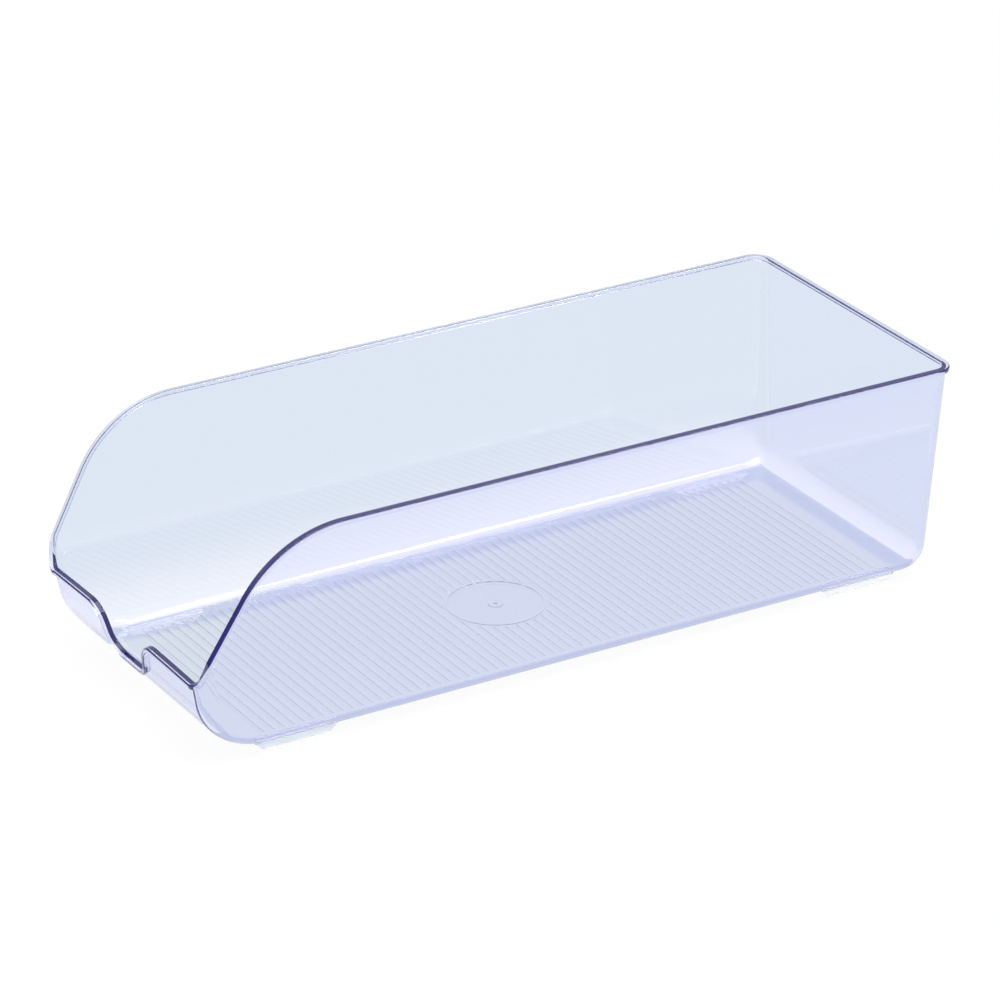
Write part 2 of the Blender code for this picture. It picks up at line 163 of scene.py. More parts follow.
def step_up(distance, height, angle, foot, shoulder):
    """Height of a soft step at a distance: an arc of radius foot, a slope, an arc of radius shoulder."""
    foot_run, shoulder_run = foot * math.sin(angle), shoulder * math.sin(angle)
    run = foot_run + (height - (foot + shoulder) * (1 - math.cos(angle))) / math.tan(angle) + shoulder_run
    distance = np.clip(distance, 0, run)
    low = foot - np.sqrt(foot ** 2 - np.minimum(distance, foot_run) ** 2)
    slope = np.maximum(np.minimum(distance, run - shoulder_run) - foot_run, 0) * math.tan(angle)
    high = shoulder - np.sqrt(shoulder ** 2 - np.minimum(run - distance, shoulder_run) ** 2)
    return np.where(distance > run - shoulder_run, height - high, low + slope), run


# The flange hangs below the edge, so its root is a parallel curve: hollow arcs are wider there by the
# flange's depth, and round ones are tighter.
SWOOP_HEIGHT = BODY_HEIGHT - LIP_CORNER_HEIGHT
ROOT_SWOOP = (SWOOP_HEIGHT, SWOOP_ANGLE, SWOOP_FOOT_RADIUS + RIM_DEPTH, SWOOP_SHOULDER_RADIUS - RIM_DEPTH)
ROOT_NOTCH = (NOTCH_DEPTH, NOTCH_ANGLE, NOTCH_FOOT_RADIUS + RIM_DEPTH, NOTCH_SHOULDER_RADIUS - RIM_DEPTH)
NOTCH_RUN = step_up(0, *ROOT_NOTCH)[1]
SWOOP_RUN = step_up(0, *ROOT_SWOOP)[1]
LIP_HALF = float(end_skin(front_end, 1, length_for(front_end, 1, LIP_CORNER_HEIGHT))[0][0])


def root_height(column):
    """Height of the flange's root along the front: crowned lip, less the notch, and the swoop's start."""
    across = np.minimum(column, 1)
    crown = LIP_CROWN * (1 - across ** 2)
    notch, _ = step_up(across * LIP_HALF - NOTCH_FLAT / 2, *ROOT_NOTCH)
    climb, _ = step_up(np.maximum(column - 1, 0) * CORNER_RUN, *ROOT_SWOOP)
    return LIP_CORNER_HEIGHT - RIM_DEPTH + crown - (NOTCH_DEPTH - notch) + climb


NOTCH_COLUMNS = 34
LIP_COLUMNS = 12
FLAT_COLUMNS = 5
CORNER_COLUMNS = 18
RIM_STATIONS = 12
WALL_ROWS = 44
BEND_ROWS = 16
SIDE_STATIONS = 120
across_notch = np.linspace(NOTCH_FLAT / 2, NOTCH_FLAT / 2 + NOTCH_RUN, NOTCH_COLUMNS)
across_lip = np.linspace(across_notch[-1], LIP_HALF, LIP_COLUMNS + 1)[1:]
across_flat = np.linspace(0, NOTCH_FLAT / 2, FLAT_COLUMNS)[:-1]
flat_columns = np.concatenate([across_flat, across_notch, across_lip]) / LIP_HALF
round_columns = 1 + np.linspace(0, 1, CORNER_COLUMNS + 1)
columns = np.concatenate([flat_columns, round_columns[1:]])

front_top = length_for(front_end, columns, root_height(columns))
front_rows = np.linspace(0, 1, WALL_ROWS + 1)[:, None] * front_top[None, :]
front_points, front_ways = end_skin(front_end, columns[None, :], front_rows)

rear_top = length_for(rear_end, columns, BODY_HEIGHT - RIM_DEPTH + 0 * columns)
rear_bend = np.linspace(0, rear_end["bend"], BEND_ROWS + 1)[:, None] * np.ones(len(columns))
rear_rise = np.linspace(0, 1, WALL_ROWS - BEND_ROWS + 1)[1:, None]
rear_rows = np.vstack([rear_bend, rear_end["bend"] + rear_rise * (rear_top - rear_end["bend"])[None, :]])
rear_points, rear_ways = end_skin(rear_end, columns[None, :], rear_rows)

# The side wall's top runs on from the corner: the rest of the swoop, close together, then the level rim.
swoop_rest = np.linspace(CORNER_RUN, SWOOP_RUN, SIDE_STATIONS + 1)
edge_start = front_points[-1, -1]
edge_end = rear_points[-1, -1]
edge_y = edge_start[1] + swoop_rest - CORNER_RUN
edge_y = np.concatenate([edge_y, np.linspace(edge_y[-1], edge_end[1], RIM_STATIONS)[1:]])
edge_run = edge_y - edge_start[1] + CORNER_RUN
edge_height = LIP_CORNER_HEIGHT - RIM_DEPTH + step_up(edge_run, *ROOT_SWOOP)[0]
edge_x = BASE_HALF + edge_height * math.tan(SIDE_LEAN)
edge_points = np.stack([edge_x, edge_y, edge_height + FLOOR_LEVEL], axis=-1)
edge_points[0], edge_points[-1] = edge_start, edge_end


def spanned(bottom, top, left, right):
    """A grid between four edge curves: the two blends across and up, less the blend of the corners."""
    run = np.linalg.norm(np.diff(top, axis=0), axis=1).cumsum()
    s = np.concatenate([[0], run / run[-1]])[None, :, None]
    rise = np.linalg.norm(np.diff(left, axis=0), axis=1).cumsum()
    t = np.concatenate([[0], rise / rise[-1]])[:, None, None]
    across = (1 - s) * left[:, None] + s * right[:, None]
    upwards = (1 - t) * bottom[None, :] + t * top[None, :]
    corners = (1 - t) * ((1 - s) * bottom[0] + s * bottom[-1]) + t * ((1 - s) * top[0] + s * top[-1])
    return across + upwards - corners


edge_share = np.linalg.norm(np.diff(edge_points, axis=0), axis=1).cumsum()
edge_share = np.concatenate([[0], edge_share / edge_share[-1]])
foot_line = front_points[0, -1] + edge_share[:, None] * (rear_points[0, -1] - front_points[0, -1])
side_points = spanned(foot_line, edge_points, front_points[:, -1], rear_points[:, -1])
side_ways = np.broadcast_to(front_ways[-1, -1], side_points.shape)

first_round = len(flat_columns) - 1
strip_share = edge_share[:, None, None]
strip_points = ((1 - strip_share) * front_points[None, 0, first_round:]
                + strip_share * rear_points[None, 0, first_round:])
strip_ways = np.broadcast_to(front_ways[0, first_round:], strip_points.shape)


ROUND_STATIONS = 11


def flange_section():
    """Outline of the flange and its outward directions, root to root, as (outward, upward) pairs.

    A flat underside, a quarter round, the outer face, a quarter round, the top, a quarter round, and the
    inner face, which is flush with the wall's inner face.
    """
    turn = np.linspace(0, math.pi / 2, ROUND_STATIONS)
    quarter = np.stack([np.cos(turn), np.sin(turn)], axis=-1)
    low = quarter[::-1] * [1, -1]
    low_middle = np.array([RIM_PROUD - RIM_LOW_ROUND, RIM_LOW_ROUND])
    outer_middle = np.array([RIM_PROUD - RIM_TOP_ROUND, RIM_DEPTH - RIM_TOP_ROUND])
    inner_middle = np.array([RIM_TOP_ROUND - WALL, RIM_DEPTH - RIM_TOP_ROUND])
    inner = quarter[::-1] * [-1, 1]
    points = np.concatenate([[[0, 0]],
                             low_middle + RIM_LOW_ROUND * low,
                             outer_middle + RIM_TOP_ROUND * quarter,
                             inner_middle + RIM_TOP_ROUND * inner,
                             [[-WALL, 0]]])
    ways = np.concatenate([[[0, -1]], low, quarter, inner, [[-1, 0]]])
    return points, ways


rim_points = np.concatenate([front_points[-1], edge_points[1:-1], rear_points[-1, ::-1]])
rim_ways = np.concatenate([front_ways[-1], side_ways[-1, 1:-1], rear_ways[-1, ::-1]])
padded = np.vstack([rim_points[1] * [-1, 1, 1], rim_points, rim_points[-2] * [-1, 1, 1]])
rim_up = np.cross(rim_ways, padded[2:] - padded[:-2])
rim_up = rim_up / np.linalg.norm(rim_up, axis=1)[:, None]
rim_up = rim_up * np.sign(rim_up[:, 2:])
section, section_ways = flange_section()
flange_points = rim_points + section[:, None, :1] * rim_ways + section[:, None, 1:] * rim_up
flange_ways = section_ways[:, None, :1] * rim_ways + section_ways[:, None, 1:] * rim_up

# Ribs lie across the floor, broken round the disc, which has a thin ring of its own.
RIB_PITCH = 4.51 * MM
RIB_HALF = 0.57 * MM
RIB_CREST = 0.48 * MM
RIB_HEIGHT = 0.08 * MM
RIB_END = BASE_HALF - 10.85 * MM
RIB_REAR = rear_end["centre"] + REAR_FLOOR_RADIUS - 21.9 * MM
RIB_COUNT = 66
DISC_RADIUS = 20.6 * MM
DISC_Y = -2.6 * MM
DISC_CLEARANCE = 0.9 * MM
DISC_ROUND_OFF = DISC_CLEARANCE + RIB_HALF
RING_HALF = 0.5 * MM
RING_CREST = 0.4 * MM
RING_HEIGHT = 0.035 * MM
GATE_RADIUS = 3.2 * MM
GATE_EDGE = 0.3 * MM
GATE_DEPTH = 0.3 * MM
NUB_RADIUS = 0.9 * MM
NUB_HEIGHT = 0.9 * GATE_DEPTH

# How finely the floor is divided: steps near the ribs' ends, and points round and beside the disc.
RIB_FADE = 0.8 * MM
RING_STATIONS = 320
DISC_SURROUND = 3.4 * MM
SURROUND_STATIONS = 81
POINT_GAP = 0.25 * MM
SLOPE_STEP = 0.01 * MM
LEVEL_STEP = 0.001 * MM
PLAN_ACCURACY = 1e-5


def eased(value, start, end):
    """0 before start, 1 after end, and a smooth curve 3t^2 - 2t^3 between them."""
    t = np.clip((value - start) / (end - start), 0, 1)
    return t * t * (3 - 2 * t)


def floor_relief(x, y):
    """Height above the plain floor: rounded ribs at every pitch, faded at their ends, and the ring."""
    place = (RIB_REAR - y) / RIB_PITCH
    nearest = np.clip(np.round(place), 0, RIB_COUNT - 1)
    off = np.abs(place - nearest) * RIB_PITCH
    rib = 1 - eased(off, RIB_CREST, RIB_HALF)
    ends = 1 - eased(np.abs(x), RIB_END - RIB_HALF, RIB_END)
    radius = np.hypot(x, y - DISC_Y)
    outside = eased(radius, DISC_RADIUS + DISC_CLEARANCE, DISC_RADIUS + DISC_ROUND_OFF)
    ring = RING_HEIGHT * (1 - eased(np.abs(radius - DISC_RADIUS), RING_CREST, RING_HALF))
    return RIB_HEIGHT * rib * ends * outside + ring


def gate_relief(x, y):
    """Depth of the mark under the disc: a round recess with a nub in its middle."""
    radius = np.hypot(x, y - DISC_Y)
    recess = GATE_DEPTH * (1 - eased(radius, GATE_RADIUS - GATE_EDGE, GATE_RADIUS))
    return recess - NUB_HEIGHT * (1 - eased(radius, NUB_RADIUS / 2, NUB_RADIUS))


def relief_ways(relief, x, y, upward):
    """Outward directions of a relief, from its slopes: (-dh/dx, -dh/dy, 1), turned over underneath."""
    slope_x = (relief(x + SLOPE_STEP, y) - relief(x - SLOPE_STEP, y)) / (2 * SLOPE_STEP)
    slope_y = (relief(x, y + SLOPE_STEP) - relief(x, y - SLOPE_STEP)) / (2 * SLOPE_STEP)
    ways = np.stack([-slope_x, -slope_y, np.ones_like(x)], axis=-1)
    ways = ways / np.linalg.norm(ways, axis=1)[:, None]
    return ways if upward else ways * [1, 1, -1]


def rings_of_points(radii, counts):
    """Points on circles round the disc's middle, each turned by half a step against the last."""
    found = []
    for number, (radius, count) in enumerate(zip(radii, counts)):
        turn = (np.arange(count) + 0.5 * (number % 2)) * (2 * math.pi / count)
        found.append(np.stack([radius * np.cos(turn), DISC_Y + radius * np.sin(turn)], axis=-1))
    return np.concatenate(found)


def floor_outline():
    """The flat floor's outline, with the same points as the ends and the edge strips have."""
    across = front_points[0, :first_round + 1, 0]
    across = np.concatenate([-across[:0:-1], across])
    front_y, rear_y = front_points[0, 0, 1], rear_points[0, 0, 1]
    along = strip_points[1:-1, 0, 1]
    edge_x = across[-1] * np.ones_like(along)
    return np.concatenate([np.stack([across, front_y + 0 * across], axis=-1),
                           np.stack([across, rear_y + 0 * across], axis=-1),
                           np.stack([edge_x, along], axis=-1),
                           np.stack([-edge_x, along], axis=-1)])


def triangulated(points, lines=()):
    """Triangles between points of a plane that keep to the lines, as corner indices into the points."""
    made = delaunay_2d_cdt([Vector(point) for point in points / MM], lines, [], 0, PLAN_ACCURACY)
    source = np.array([found[0] for found in made[3]])
    return source[np.array(made[2])]


def rib_lattice():
    """Points along each rib's profile, at its ends and, where the disc breaks the ribs, in between."""
    flank = np.linspace(RIB_CREST, RIB_HALF, 4)
    profile = np.concatenate([-flank[::-1], flank])
    along = (RIB_REAR - np.arange(RIB_COUNT) * RIB_PITCH)[:, None] + profile[None, :]
    along = along.ravel()
    ends = RIB_END - np.linspace(0, RIB_FADE, 5)
    half = DISC_RADIUS + DISC_SURROUND
    middle = np.linspace(-half, half, SURROUND_STATIONS)
    across = np.concatenate([ends, -ends])
    outer = np.stack(np.meshgrid(across, along), axis=-1).reshape(-1, 2)
    inner = np.stack(np.meshgrid(middle, along), axis=-1).reshape(-1, 2)
    near = np.abs(inner[:, 1] - DISC_Y) < half
    clear = np.hypot(inner[:, 0], inner[:, 1] - DISC_Y) > DISC_RADIUS + DISC_ROUND_OFF + POINT_GAP
    return np.concatenate([outer, inner[near & clear]])


def lines_along_ribs(points):
    """Pairs of neighbours with the same y, less those that would run across the disc."""
    order = np.lexsort((points[:, 0], np.round(points[:, 1] / LEVEL_STEP)))
    start, end = order[:-1], order[1:]
    level = np.abs(points[start, 1] - points[end, 1]) < LEVEL_STEP
    middle = (points[start] + points[end]) / 2
    across = np.hypot(middle[:, 0], middle[:, 1] - DISC_Y) < DISC_RADIUS + DISC_CLEARANCE
    return np.stack([start, end], axis=-1)[level & ~across]


ring_offsets = np.linspace(RING_CREST, RING_HALF, 5)
round_offsets = np.linspace(DISC_CLEARANCE, DISC_CLEARANCE + RIB_FADE, 5)
disc_radii = DISC_RADIUS + np.concatenate([round_offsets, ring_offsets, -ring_offsets])
disc_points = rings_of_points(disc_radii, [RING_STATIONS] * len(disc_radii))
INNER_RADII = np.array([19.2, 17.0, 13.0, 9.0, 5.0, 1.5]) * MM
inner_points = rings_of_points(INNER_RADII, [160, 90, 60, 40, 24, 8])
rib_plan = rib_lattice()
outline_plan = floor_outline()
rib_lines = (lines_along_ribs(rib_plan) + len(outline_plan)).tolist()
top_plan = np.concatenate([outline_plan, rib_plan, disc_points, inner_points])
gate_radii = np.linspace(GATE_RADIUS, GATE_RADIUS - GATE_EDGE, 4)
nub_radii = np.linspace(NUB_RADIUS, NUB_RADIUS / 2, 4)
UNDER_RADII = np.array([6.0, 12.0, 25.0]) * MM
under_plan = np.concatenate([outline_plan,
                             rings_of_points(gate_radii, [64] * 4),
                             rings_of_points(nub_radii, [32] * 4),
                             rings_of_points(UNDER_RADII, [32, 24, 24])])
top_x, top_y = top_plan.T
under_x, under_y = under_plan.T
top_points = np.stack([top_x, top_y, FLOOR_LEVEL + WALL + floor_relief(top_x, top_y)], axis=-1)
under_points = np.stack([under_x, under_y, FLOOR_LEVEL + gate_relief(under_x, under_y)], axis=-1)
top_ways = relief_ways(floor_relief, top_x, top_y, True)
under_ways = relief_ways(gate_relief, under_x, under_y, False)


def grid_faces(rows, across):
    """Corner indices of a grid's quads."""
    first = (np.arange(rows - 1)[:, None] * across + np.arange(across - 1)[None, :]).ravel()
    return np.stack([first, first + 1, first + across + 1, first + across], axis=-1)


MERGE_DISTANCE = 0.002 * MM


def shaded_body(name, patches):
    """One closed mesh from patches of (points, outward directions, faces).

    Points that fall together become one vertex.  Each face is turned so that it faces the way that its
    directions point, and the directions become the mesh's shading normals.
    """
    points = np.concatenate([patch[0].reshape(-1, 3) for patch in patches])
    ways = np.concatenate([patch[1].reshape(-1, 3) for patch in patches])
    starts = np.cumsum([0] + [patch[0].size // 3 for patch in patches])
    cells = np.round(points / MERGE_DISTANCE)
    _, first, merged = np.unique(cells, axis=0, return_index=True, return_inverse=True)
    merged = merged.ravel()
    kept = points[first]
    faces, loop_ways = [], []
    for patch, start in zip(patches, starts):
        corners = patch[2] + start
        sides = np.cross(points[corners[:, 2]] - points[corners[:, 0]],
                         points[corners[:, -1]] - points[corners[:, 1]])
        outward = (sides * ways[corners].mean(axis=1)).sum(axis=1) > 0
        corners = np.where(outward[:, None], corners, corners[:, ::-1])
        faces.extend(merged[corners].tolist())
        loop_ways.append(ways[corners].reshape(-1, 3))
    mesh = bpy.data.meshes.new(name)
    mesh.from_pydata(kept.tolist(), [], faces)
    mesh.polygons.foreach_set("use_smooth", np.ones(len(faces), bool))
    mesh.normals_split_custom_set(np.concatenate(loop_ways).tolist())
    made = bpy.data.objects.new(name, mesh)
    bpy.context.scene.collection.objects.link(made)
    return made


def wall_patches():
    """Outer and inner faces of every stretch of wall and the flange, right half and left half."""
    halves = []
    for points, ways in ((front_points, front_ways), (rear_points, rear_ways), (side_points, side_ways),
                         (strip_points, strip_ways)):
        faces = grid_faces(*points.shape[:2])
        halves.append((points, ways, faces))
        halves.append((points - WALL * ways, -ways, faces))
    halves.append((flange_points, flange_ways, grid_faces(*flange_points.shape[:2])))
    mirrored = [(points * [-1, 1, 1], ways * [-1, 1, 1], faces) for points, ways, faces in halves]
    return halves + mirrored


top_faces = triangulated(top_plan, rib_lines)
under_faces = triangulated(under_plan)
bin_shell = shaded_body("bin_shell", wall_patches() + [(top_points, top_ways, top_faces),
                                                       (under_points, under_ways, under_faces)])


def lavender_plastic_with_painted_glow():
    """Clear plastic, tinted through: the colour comes from the length of the path inside it, with a faint
    violet painted glow on top.
    """
    made = bpy.data.materials.new("lavender_plastic_with_painted_glow")
    made.use_nodes = True
    nodes, links = made.node_tree.nodes, made.node_tree.links
    shader = nodes["Principled BSDF"]
    shader.inputs["Base Color"].default_value = (1.0, 1.0, 1.0, 1.0)
    shader.inputs["Transmission Weight"].default_value = 1.0
    shader.inputs["IOR"].default_value = 1.56
    # A faint violet painted glow, so that the darkest refractions show violet instead of black.
    shader.inputs["Emission Color"].default_value = (0.2, 0.17, 1.0, 1.0)
    shader.inputs["Emission Strength"].default_value = 0.028
    place = nodes.new("ShaderNodeTexCoord")
    flow = nodes.new("ShaderNodeTexNoise")
    flow.inputs["Scale"].default_value = 14.0
    flow.inputs["Detail"].default_value = 2.0
    gloss = nodes.new("ShaderNodeMapRange")
    gloss.inputs["To Min"].default_value = 0.0
    gloss.inputs["To Max"].default_value = 0.035
    waves = nodes.new("ShaderNodeBump")
    waves.inputs["Strength"].default_value = 0.06
    waves.inputs["Distance"].default_value = 0.0004
    links.new(place.outputs["Object"], flow.inputs["Vector"])
    links.new(flow.outputs["Fac"], gloss.inputs["Value"])
    links.new(gloss.outputs["Result"], shader.inputs["Roughness"])
    links.new(flow.outputs["Fac"], waves.inputs["Height"])
    links.new(waves.outputs["Normal"], shader.inputs["Normal"])
    tint = nodes.new("ShaderNodeVolumeAbsorption")
    tint.inputs["Color"].default_value = (0.16, 0.12, 0.66, 1.0)
    tint.inputs["Density"].default_value = 50.0
    links.new(tint.outputs["Volume"], nodes["Material Output"].inputs["Volume"])
    return made


bin_shell.data.materials.append(lavender_plastic_with_painted_glow())
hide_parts("bin_body")
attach(bin_shell, "root")


# Four soft strips under the long edges, cut from clear, slightly milky plastic, with a faint painted
# glow.  They keep the bin from sliding, and each follows the bin's rounded lower edge with its top.
FOOT_HALF = 1.6 * MM
FOOT_MIDDLE = 57.0 * MM
FOOT_END_SLOPE = 4.0 * MM
FOOT_POWER = 0.35
FOOT_SHARP_ANGLE = math.radians(40)
FOOT_AROUND = 48
FOOT_ALONG = 30
SEAT_GAP = 0.3 * MM


def foot_strip(node):
    """A strip in the box of its CAD node, with a flattened oval section.

    The section is x = a sgn(cos) |cos|^p, and a height of (1 + sgn(sin) |sin|^p) / 2 of the way from the
    ground to the bin's edge, less the seat's gap.  Both ends slope, so that the strip is shorter below.
    """
    low, high = (np.array(corner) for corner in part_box(node))
    side = np.sign(low[0] + high[0])
    turn = np.linspace(0, 2 * math.pi, FOOT_AROUND, endpoint=False)
    across = np.sign(np.cos(turn)) * np.abs(np.cos(turn)) ** FOOT_POWER
    upward = np.sign(np.sin(turn)) * np.abs(np.sin(turn)) ** FOOT_POWER
    x = FOOT_MIDDLE + FOOT_HALF * across
    edge_x = BASE_HALF + EDGE_RADIUS * math.tan(SIDE_LEAN) - EDGE_RADIUS / math.cos(SIDE_LEAN)
    lift = EDGE_RADIUS - np.sqrt(EDGE_RADIUS ** 2 - np.maximum(x - edge_x, 0) ** 2)
    top = FLOOR_LEVEL - SEAT_GAP + lift
    z = top / 2 * (1 + upward)
    along = np.linspace(0, 1, FOOT_ALONG)[:, None]
    slope = FOOT_END_SLOPE * (1 - z / top)[None, :]
    y = low[1] + slope + (high[1] - low[1] - 2 * slope) * along
    points = np.stack([side * x[None, :] + 0 * y, y, z[None, :] + 0 * y], axis=-1)
    half_slope = FOOT_END_SLOPE / 2
    caps = [[side * FOOT_MIDDLE, low[1] + half_slope, FLOOR_LEVEL / 2],
            [side * FOOT_MIDDLE, high[1] - half_slope, FLOOR_LEVEL / 2]]
    here = np.arange(FOOT_AROUND)
    after = (here + 1) % FOOT_AROUND
    rows = np.arange(FOOT_ALONG - 1)[:, None] * FOOT_AROUND
    next_rows = rows + FOOT_AROUND
    around = np.stack([rows + here, rows + after, next_rows + after, next_rows + here], axis=-1)
    last = (FOOT_ALONG - 1) * FOOT_AROUND
    near_middle = 0 * here + FOOT_ALONG * FOOT_AROUND
    near_cap = np.stack([after, here, near_middle], axis=-1)
    far_cap = np.stack([last + here, last + after, near_middle + 1], axis=-1)
    faces = around.reshape(-1, 4).tolist() + near_cap.tolist() + far_cap.tolist()
    if side < 0:
        faces = [face[::-1] for face in faces]
    mesh = bpy.data.meshes.new(node.replace("foot", "strip"))
    mesh.from_pydata(np.vstack([points.reshape(-1, 3), caps]).tolist(), [], faces)
    mesh.polygons.foreach_set("use_smooth", np.ones(len(faces), bool))
    mesh.set_sharp_from_angle(angle=FOOT_SHARP_ANGLE)
    made = bpy.data.objects.new(mesh.name, mesh)
    bpy.context.scene.collection.objects.link(made)
    return made


def hazy_soft_plastic_with_painted_glow():
    """Clear soft plastic with a little haze, and a faint painted glow that lifts it out of the shade."""
    made = bpy.data.materials.new("hazy_soft_plastic_with_painted_glow")
    made.use_nodes = True
    nodes, links = made.node_tree.nodes, made.node_tree.links
    shader = nodes["Principled BSDF"]
    shader.inputs["Base Color"].default_value = (0.93, 0.96, 0.98, 1.0)
    shader.inputs["Transmission Weight"].default_value = 0.6
    shader.inputs["IOR"].default_value = 1.5
    # A faint whitish painted glow, which lifts the strips out of the shade under the bin's edge.
    shader.inputs["Emission Color"].default_value = (0.9, 0.96, 1.0, 1.0)
    shader.inputs["Emission Strength"].default_value = 0.08
    place = nodes.new("ShaderNodeTexCoord")
    haze = nodes.new("ShaderNodeTexNoise")
    haze.inputs["Scale"].default_value = 260.0
    gloss = nodes.new("ShaderNodeMapRange")
    gloss.inputs["To Min"].default_value = 0.01
    gloss.inputs["To Max"].default_value = 0.06
    links.new(place.outputs["Object"], haze.inputs["Vector"])
    links.new(haze.outputs["Fac"], gloss.inputs["Value"])
    links.new(gloss.outputs["Result"], shader.inputs["Roughness"])
    return made


soft_plastic = hazy_soft_plastic_with_painted_glow()
for foot_node in ("foot_front_left", "foot_front_right", "foot_rear_left", "foot_rear_right"):
    strip = foot_strip(foot_node)
    strip.data.materials.append(soft_plastic)
    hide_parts(foot_node)
    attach(strip, "root")


# The studio: a white floor, soft light from above, and a sky that is darker towards the horizon, which
# draws the edges of the clear plastic.
FLOOR_HALF = 12.0
FLOOR_GAP = 0.2 * MM
EYE_SHARE = 0.93
SHADE_MIDDLE = 4.6 * MM
SHADE_HALF = 169.6 * MM
END_FADE = 2.0
# The ground as the plastic shows it: painted shade under the bin, darkest under its edge, a painted pool
# of light just outside, then the pale far ground.
PAINTED_SHADE_UNDER_BIN = (0.725, 0.80, 0.78)
PAINTED_SHADE_UNDER_EDGE = (0.57, 0.65, 0.75)
FAR_GROUND = (0.78, 0.865, 0.875)
SHADE_STEPS = ((-40.0 * MM, PAINTED_SHADE_UNDER_BIN),
               (-13.0 * MM, PAINTED_SHADE_UNDER_BIN),
               (-8.0 * MM, PAINTED_SHADE_UNDER_EDGE),
               (-1.0 * MM, PAINTED_SHADE_UNDER_EDGE),
               (4.0 * MM, (0.98, 1.0, 0.98)),
               (16.0 * MM, (0.94, 0.99, 0.97)),
               (70.0 * MM, FAR_GROUND))
WHITE = (1.0, 1.0, 1.0)


def painted_ground_light(nodes, links):
    """Colour of the ground as the plastic shows it, by the distance d = max(|x| - a, e) from the base.

    e is |y| - b, and three times as much where it is over 0, so that the white edge is narrower at the
    ends.  Painted shade dims the ground under the bin, most under its edge; a painted pool of light
    whitens it just outside; then it is pale.
    """
    place = nodes.new("ShaderNodeTexCoord")
    split = nodes.new("ShaderNodeSeparateXYZ")
    links.new(place.outputs["Object"], split.inputs["Vector"])
    outside = nodes.new("ShaderNodeMath")
    outside.operation = "MAXIMUM"
    sides = (("X", 0.0, BASE_HALF, 0.0), ("Y", SHADE_MIDDLE, SHADE_HALF, END_FADE))
    for slot, (axis, middle, half, fade) in enumerate(sides):
        centred = nodes.new("ShaderNodeMath")
        centred.operation = "SUBTRACT"
        centred.inputs[1].default_value = middle
        far = nodes.new("ShaderNodeMath")
        far.operation = "ABSOLUTE"
        beyond = nodes.new("ShaderNodeMath")
        beyond.operation = "SUBTRACT"
        beyond.inputs[1].default_value = half
        links.new(split.outputs[axis], centred.inputs[0])
        links.new(centred.outputs[0], far.inputs[0])
        links.new(far.outputs[0], beyond.inputs[0])
        clear = nodes.new("ShaderNodeMath")
        clear.operation = "MAXIMUM"
        clear.inputs[1].default_value = 0.0
        reach = nodes.new("ShaderNodeMath")
        reach.operation = "MULTIPLY_ADD"
        reach.inputs[1].default_value = fade
        links.new(beyond.outputs[0], clear.inputs[0])
        links.new(clear.outputs[0], reach.inputs[0])
        links.new(beyond.outputs[0], reach.inputs[2])
        links.new(reach.outputs[0], outside.inputs[slot])
    share = nodes.new("ShaderNodeMapRange")
    share.inputs["From Min"].default_value = SHADE_STEPS[0][0]
    share.inputs["From Max"].default_value = SHADE_STEPS[-1][0]
    ramp = nodes.new("ShaderNodeValToRGB")
    ramp.color_ramp.interpolation = "EASE"
    stops = ramp.color_ramp.elements
    stops[0].color = (*SHADE_STEPS[0][1], 1.0)
    stops[-1].color = (*SHADE_STEPS[-1][1], 1.0)
    for distance, colour in SHADE_STEPS[1:-1]:
        stop = stops.new((distance - SHADE_STEPS[0][0]) / (SHADE_STEPS[-1][0] - SHADE_STEPS[0][0]))
        stop.color = (*colour, 1.0)
    links.new(outside.outputs[0], share.inputs["Value"])
    links.new(share.outputs["Result"], ramp.inputs["Fac"])
    return ramp.outputs["Color"]


def studio_floor():
    """A flat square: white to the eye and in reflections, painted_ground_light's colour through the plastic."""
    corners = FLOOR_HALF * np.array([[-1, -1, 0], [1, -1, 0], [1, 1, 0], [-1, 1, 0]])
    mesh = bpy.data.meshes.new("studio_floor")
    mesh.from_pydata(corners.tolist(), [], [[0, 1, 2, 3]])
    made = bpy.data.objects.new("studio_floor", mesh)
    made.location = (0, 0, -FLOOR_GAP)
    bpy.context.scene.collection.objects.link(made)
    material = bpy.data.materials.new("white_floor")
    material.use_nodes = True
    nodes, links = material.node_tree.nodes, material.node_tree.links
    nodes.clear()
    matt = nodes.new("ShaderNodeBsdfDiffuse")
    matt.inputs["Color"].default_value = (0.9, 0.9, 0.9, 1.0)
    white = nodes.new("ShaderNodeEmission")
    white.inputs["Color"].default_value = (*WHITE, 1.0)
    white.inputs["Strength"].default_value = 1.0
    # The ground as the plastic shows it, with its painted shade and painted light.
    pale = nodes.new("ShaderNodeEmission")
    pale.inputs["Strength"].default_value = 1.0
    links.new(painted_ground_light(nodes, links), pale.inputs["Color"])
    path = nodes.new("ShaderNodeLightPath")
    mirrored = nodes.new("ShaderNodeMixShader")
    plain = nodes.new("ShaderNodeMath")
    plain.operation = "MULTIPLY"
    plain.inputs[1].default_value = EYE_SHARE
    through = nodes.new("ShaderNodeMixShader")
    mix = nodes.new("ShaderNodeMixShader")
    out = nodes.new("ShaderNodeOutputMaterial")
    links.new(path.outputs["Is Glossy Ray"], mirrored.inputs["Fac"])
    links.new(matt.outputs[0], mirrored.inputs[1])
    links.new(white.outputs[0], mirrored.inputs[2])
    links.new(path.outputs["Is Transmission Ray"], through.inputs["Fac"])
    links.new(mirrored.outputs[0], through.inputs[1])
    links.new(pale.outputs[0], through.inputs[2])
    links.new(path.outputs["Is Camera Ray"], plain.inputs[0])
    links.new(plain.outputs[0], mix.inputs["Fac"])
    links.new(through.outputs[0], mix.inputs[1])
    links.new(white.outputs[0], mix.inputs[2])
    links.new(mix.outputs[0], out.inputs["Surface"])
    mesh.materials.append(material)
    return made


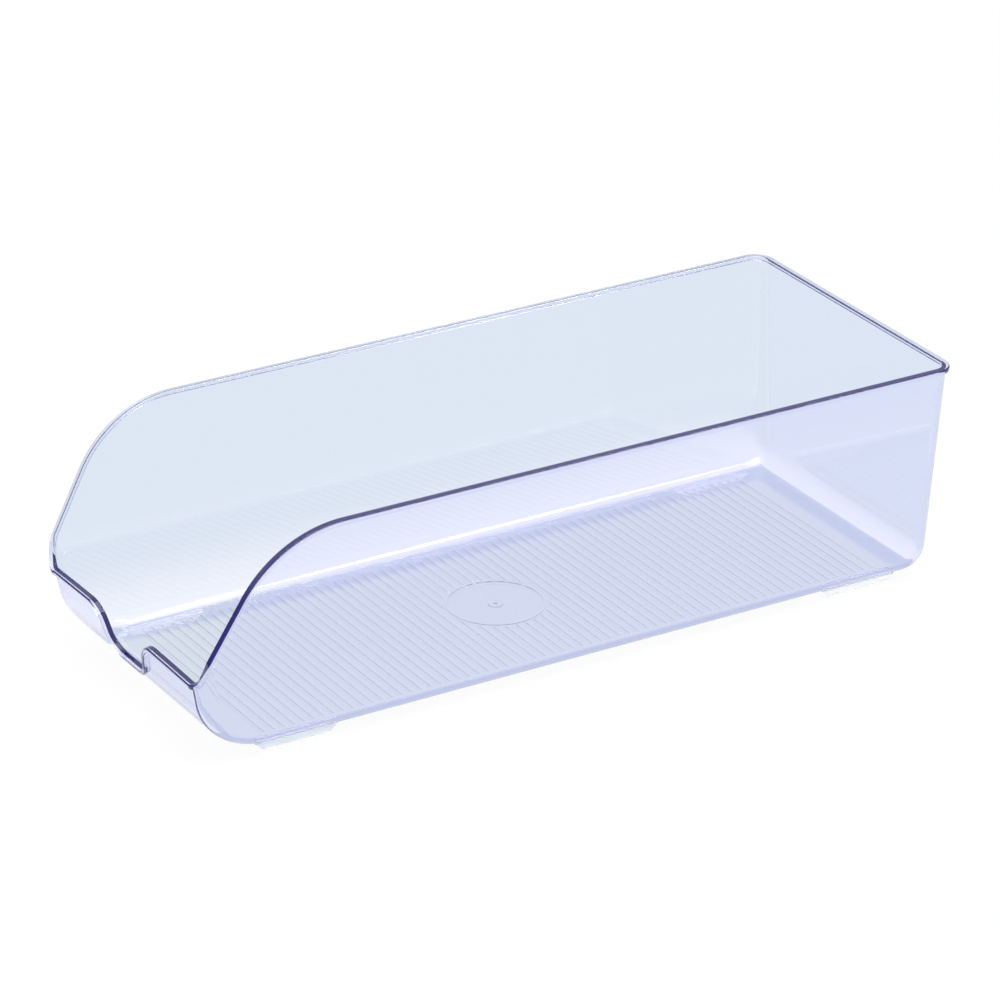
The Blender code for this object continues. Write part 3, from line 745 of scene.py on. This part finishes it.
HORIZON = (0.05, 0.055, 0.13)
HORIZON_TOP = 0.12
WHITE_FROM = 0.5


def studio_sky():
    """Light by the height of its direction: dark at the horizon, white overhead.

    The eye sees it white all over, and through the plastic it is as pale as the far ground.
    """
    world = bpy.data.worlds.new("studio")
    world.use_nodes = True
    nodes, links = world.node_tree.nodes, world.node_tree.links
    background = nodes["Background"]
    place = nodes.new("ShaderNodeTexCoord")
    split = nodes.new("ShaderNodeSeparateXYZ")
    ramp = nodes.new("ShaderNodeValToRGB")
    low, high = ramp.color_ramp.elements
    low.position = HORIZON_TOP
    low.color = (*HORIZON, 1.0)
    high.position = WHITE_FROM
    high.color = (*WHITE, 1.0)
    links.new(place.outputs["Generated"], split.inputs["Vector"])
    links.new(split.outputs["Z"], ramp.inputs["Fac"])
    path = nodes.new("ShaderNodeLightPath")
    colour = ramp.outputs["Color"]
    for rays, shown in (("Is Transmission Ray", FAR_GROUND), ("Is Camera Ray", WHITE)):
        seen = nodes.new("ShaderNodeMix")
        seen.data_type = "RGBA"
        seen.inputs[7].default_value = (*shown, 1.0)
        links.new(path.outputs[rays], seen.inputs[0])
        links.new(colour, seen.inputs[6])
        colour = seen.outputs[2]
    links.new(colour, background.inputs["Color"])
    background.inputs["Strength"].default_value = 1.0
    bpy.context.scene.world = world


def soft_lamp(name, place, size, watts):
    """An oblong area lamp, turned to the bin."""
    data = bpy.data.lights.new(name, "AREA")
    data.shape = "RECTANGLE"
    data.size, data.size_y = size
    data.energy = watts
    made = bpy.data.objects.new(name, data)
    made.location = place
    made.rotation_mode = "QUATERNION"
    made.rotation_quaternion = (-Vector(place)).to_track_quat("-Z", "Y")
    bpy.context.scene.collection.objects.link(made)


floor = studio_floor()
studio_sky()
soft_lamp("overhead_lamp", place=(0.3, -0.2, 1.8), size=(1.6, 1.6), watts=22.0)
soft_lamp("rear_lamp", place=(0.78, 0.98, 1.68), size=(0.35, 0.45), watts=7.0)
bpy.context.scene.view_settings.view_transform = "Standard"
